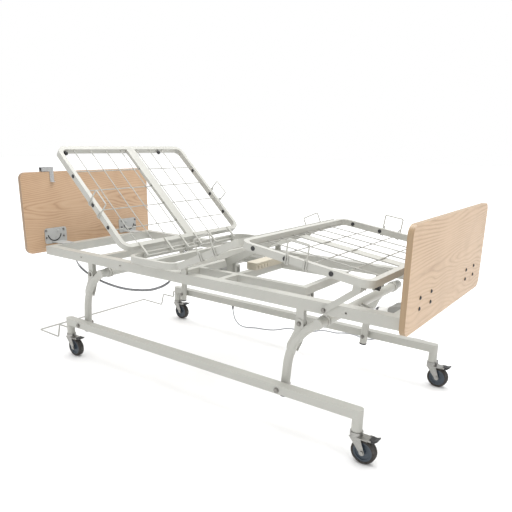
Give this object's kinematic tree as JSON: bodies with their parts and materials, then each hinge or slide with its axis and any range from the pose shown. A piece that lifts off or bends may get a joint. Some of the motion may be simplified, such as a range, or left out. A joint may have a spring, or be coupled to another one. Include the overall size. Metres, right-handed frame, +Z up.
{
  "type": "adjustable hospital bed",
  "caption": "Electric hospital bed frame with wood-look end boards, wire-mesh back and foot sections, hi-lo legs and swivel casters.",
  "frame": {"origin": "centre of the footprint on the floor", "axes": "+X towards the foot end, +Y towards the far side, +Z up"},
  "size_m": [2.232, 1.476, 1.1243],
  "materials": {
    "beige_plastic": "satin",
    "black_plastic": "satin",
    "black_screws": "satin",
    "bracket_plate": "satin",
    "bright_steel": "satin",
    "chrome_rod": "polished",
    "curly_cord": "satin",
    "dark_grey_plastic": "satin",
    "dark_zinc": "zinc plated",
    "footboard_wood": "laminate",
    "grey_pvc": "satin",
    "headboard_wood": "laminate",
    "motor_grey": "satin",
    "tyre_rubber": "matt",
    "wheel_disc": "satin",
    "white_powder_coat": "satin",
    "zinc_plate": "zinc plated"
  },
  "bodies": {
    "base": {"lower_rail_near": "white_powder_coat", "lower_rail_far": "white_powder_coat", "leg_pivot_bolts": "dark_zinc", "wall_bumper_wire": "white_powder_coat", "lead_clip": "dark_grey_plastic", "mains_lead": "grey_pvc", "mains_plug": "dark_grey_plastic"},
    "leg_head": {"leg_frame_head": "white_powder_coat"},
    "leg_foot": {"leg_frame_foot": "white_powder_coat"},
    "deck": {"deck_rail_near": "white_powder_coat", "deck_rail_far": "white_powder_coat", "leg_posts": "white_powder_coat", "deck_cross_members": "white_powder_coat", "mech_frame": "white_powder_coat", "seat_frame": "white_powder_coat", "headboard": "headboard_wood", "footboard": "footboard_wood", "board_brackets": "bracket_plate", "board_bolts": "black_screws", "pendant_hook": "bright_steel", "control_box": "beige_plastic", "hand_control_cord": "curly_cord", "frame_pivot_bolts": "dark_zinc"},
    "back_section": {"back_frame": "white_powder_coat", "back_grid": "white_powder_coat", "back_centre_bar": "white_powder_coat", "back_retainers": "white_powder_coat"},
    "thigh_section": {"thigh_frame": "white_powder_coat", "thigh_retainers": "white_powder_coat"},
    "foot_section": {"foot_frame": "white_powder_coat", "foot_grid": "white_powder_coat", "foot_centre_bar": "white_powder_coat", "foot_retainers": "white_powder_coat"},
    "calf_link_pair": {"calf_links": "white_powder_coat"},
    "knob": {"adjuster_knob": "black_plastic"},
    "hilo_head_motor_body": {"hilo_head_motor": "motor_grey"},
    "hilo_head_rod_body": {"hilo_head_rod": "chrome_rod"},
    "hilo_foot_motor_body": {"hilo_foot_motor": "motor_grey"},
    "hilo_foot_rod_body": {"hilo_foot_rod": "chrome_rod"},
    "back_motor_body": {"back_motor": "motor_grey"},
    "back_rod_body": {"back_rod": "chrome_rod"},
    "thigh_motor_body": {"thigh_motor": "motor_grey"},
    "thigh_rod_body": {"thigh_rod": "chrome_rod"},
    "caster_head_near": {"caster_fork_head_near": "zinc_plate"},
    "wheel_head_near": {"caster_tyre_head_near": "tyre_rubber", "caster_hub_head_near": "wheel_disc"},
    "pedal_head_near": {"brake_pedal_head_near": "black_plastic"},
    "caster_head_far": {"caster_fork_head_far": "zinc_plate"},
    "wheel_head_far": {"caster_tyre_head_far": "tyre_rubber", "caster_hub_head_far": "wheel_disc"},
    "pedal_head_far": {"brake_pedal_head_far": "black_plastic"},
    "caster_foot_near": {"caster_fork_foot_near": "zinc_plate"},
    "wheel_foot_near": {"caster_tyre_foot_near": "tyre_rubber", "caster_hub_foot_near": "wheel_disc"},
    "pedal_foot_near": {"brake_pedal_foot_near": "black_plastic"},
    "caster_foot_far": {"caster_fork_foot_far": "zinc_plate"},
    "wheel_foot_far": {"caster_tyre_foot_far": "tyre_rubber", "caster_hub_foot_far": "wheel_disc"},
    "pedal_foot_far": {"brake_pedal_foot_far": "black_plastic"}
  },
  "joints": [
    {"name": "hilo", "type": "hinge", "parent": "base", "child": "leg_head", "pos_m": [-0.689, 0, 0.192], "axis": [0, 1, 0], "range_deg": [-5, 60], "deforming": ["hand_control_cord"]},
    {"name": "deck_level", "type": "hinge", "parent": "leg_head", "child": "deck", "pos_m": [-0.627, 0, 0.476], "axis": [0, 1, 0], "range_deg": [-60.5, 5.5]},
    {"name": "foot_leg_swing", "type": "hinge", "parent": "base", "child": "leg_foot", "pos_m": [0.601, 0, 0.192], "axis": [0, 1, 0], "range_deg": [-5.5, 60.5]},
    {"name": "back_tilt", "type": "hinge", "parent": "deck", "child": "back_section", "pos_m": [-0.252, 0, 0.617], "axis": [0, 1, 0], "range_deg": [-43.5, 16.5]},
    {"name": "thigh_tilt", "type": "hinge", "parent": "deck", "child": "thigh_section", "pos_m": [0.053, 0, 0.624], "axis": [0, -1, 0], "range_deg": [-24.3, 5.7]},
    {"name": "knee", "type": "hinge", "parent": "thigh_section", "child": "foot_section", "pos_m": [0.38872, 0, 0.77229], "axis": [0, -1, 0], "range_deg": [-8, 33]},
    {"name": "calf_link_swing", "type": "hinge", "parent": "deck", "child": "calf_link_pair", "pos_m": [0.77, 0, 0.553], "axis": [0, -1, 0], "range_deg": [-32, 9]},
    {"name": "knob_turn", "type": "hinge", "parent": "foot_section", "child": "knob", "pos_m": [0.95448, -0.35, 0.66612], "axis": [0.9904, 0, -0.1381], "continuous": true},
    {"name": "hilo_head_motor_swing", "type": "hinge", "parent": "deck", "child": "hilo_head_motor_body", "pos_m": [-0.07, -0.06, 0.507], "axis": [0, -1, 0], "range_deg": [-1.8, 16.05]},
    {"name": "hilo_head_rod_slide", "type": "slide", "parent": "hilo_head_motor_body", "child": "hilo_head_rod_body", "axis": [-0.9976, 0, -0.0697], "range_m": [-0.0083, 0.0882]},
    {"name": "hilo_foot_motor_swing", "type": "hinge", "parent": "deck", "child": "hilo_foot_motor_body", "pos_m": [1.047, -0.06, 0.515], "axis": [0, -1, 0], "range_deg": [-2.28, 21.82]},
    {"name": "hilo_foot_rod_slide", "type": "slide", "parent": "hilo_foot_motor_body", "child": "hilo_foot_rod_body", "axis": [-0.9885, 0, -0.151], "range_m": [-0.0088, 0.0951]},
    {"name": "back_motor_swing", "type": "hinge", "parent": "deck", "child": "back_motor_body", "pos_m": [-0.001, 0.06, 0.465], "axis": [0, -1, 0], "range_deg": [-4.92, 12.16]},
    {"name": "back_rod_slide", "type": "slide", "parent": "back_motor_body", "child": "back_rod_body", "axis": [-0.9683, 0, 0.2497], "range_m": [-0.0789, 0.0306]},
    {"name": "thigh_motor_swing", "type": "hinge", "parent": "deck", "child": "thigh_motor_body", "pos_m": [0.545, -0.11, 0.5], "axis": [0, -1, 0], "range_deg": [-0.86, 2.04]},
    {"name": "thigh_rod_slide", "type": "slide", "parent": "thigh_motor_body", "child": "thigh_rod_body", "axis": [-0.9996, 0, 0.028], "range_m": [-0.0123, 0.0493]},
    {"name": "swivel_head_near", "type": "hinge", "parent": "base", "child": "caster_head_near", "pos_m": [-0.787, -0.424, 0.15], "axis": [0, 0, 1], "continuous": true},
    {"name": "roll_head_near", "type": "hinge", "parent": "caster_head_near", "child": "wheel_head_near", "pos_m": [-0.752, -0.424, 0.05], "axis": [0, 1, 0], "continuous": true},
    {"name": "brake_head_near", "type": "hinge", "parent": "caster_head_near", "child": "pedal_head_near", "pos_m": [-0.725, -0.424, 0.107], "axis": [0, 1, 0], "range_deg": [0, 14]},
    {"name": "swivel_head_far", "type": "hinge", "parent": "base", "child": "caster_head_far", "pos_m": [-0.787, 0.424, 0.15], "axis": [0, 0, 1], "continuous": true},
    {"name": "roll_head_far", "type": "hinge", "parent": "caster_head_far", "child": "wheel_head_far", "pos_m": [-0.752, 0.424, 0.05], "axis": [0, 1, 0], "continuous": true},
    {"name": "brake_head_far", "type": "hinge", "parent": "caster_head_far", "child": "pedal_head_far", "pos_m": [-0.725, 0.424, 0.107], "axis": [0, 1, 0], "range_deg": [0, 14]},
    {"name": "swivel_foot_near", "type": "hinge", "parent": "base", "child": "caster_foot_near", "pos_m": [0.954, -0.424, 0.15], "axis": [0, 0, 1], "continuous": true},
    {"name": "roll_foot_near", "type": "hinge", "parent": "caster_foot_near", "child": "wheel_foot_near", "pos_m": [0.989, -0.424, 0.05], "axis": [0, 1, 0], "continuous": true},
    {"name": "brake_foot_near", "type": "hinge", "parent": "caster_foot_near", "child": "pedal_foot_near", "pos_m": [1.016, -0.424, 0.107], "axis": [0, 1, 0], "range_deg": [0, 14]},
    {"name": "swivel_foot_far", "type": "hinge", "parent": "base", "child": "caster_foot_far", "pos_m": [0.954, 0.424, 0.15], "axis": [0, 0, 1], "continuous": true},
    {"name": "roll_foot_far", "type": "hinge", "parent": "caster_foot_far", "child": "wheel_foot_far", "pos_m": [0.989, 0.424, 0.05], "axis": [0, 1, 0], "continuous": true},
    {"name": "brake_foot_far", "type": "hinge", "parent": "caster_foot_far", "child": "pedal_foot_far", "pos_m": [1.016, 0.424, 0.107], "axis": [0, 1, 0], "range_deg": [0, 14]}
  ],
  "couplings": [
    {"joint": "deck_level", "follows": "hilo", "ratio": -1},
    {"joint": "foot_leg_swing", "follows": "hilo", "ratio": 1},
    {"joint": "knee", "follows": "thigh_tilt", "ratio": -1.327},
    {"joint": "calf_link_swing", "follows": "thigh_tilt", "ratio": 1.163},
    {"joint": "hilo_head_motor_swing", "follows": "hilo", "ratio": 0.2592},
    {"joint": "hilo_head_rod_slide", "follows": "hilo", "m_per_rad": 0.08323},
    {"joint": "hilo_foot_motor_swing", "follows": "hilo", "ratio": 0.3554},
    {"joint": "hilo_foot_rod_slide", "follows": "hilo", "m_per_rad": 0.08986},
    {"joint": "back_motor_swing", "follows": "back_tilt", "ratio": -0.268},
    {"joint": "back_rod_slide", "follows": "back_tilt", "m_per_rad": 0.10267},
    {"joint": "thigh_motor_swing", "follows": "thigh_tilt", "ratio": -0.0632},
    {"joint": "thigh_rod_slide", "follows": "thigh_tilt", "m_per_rad": -0.11382}
  ]
}
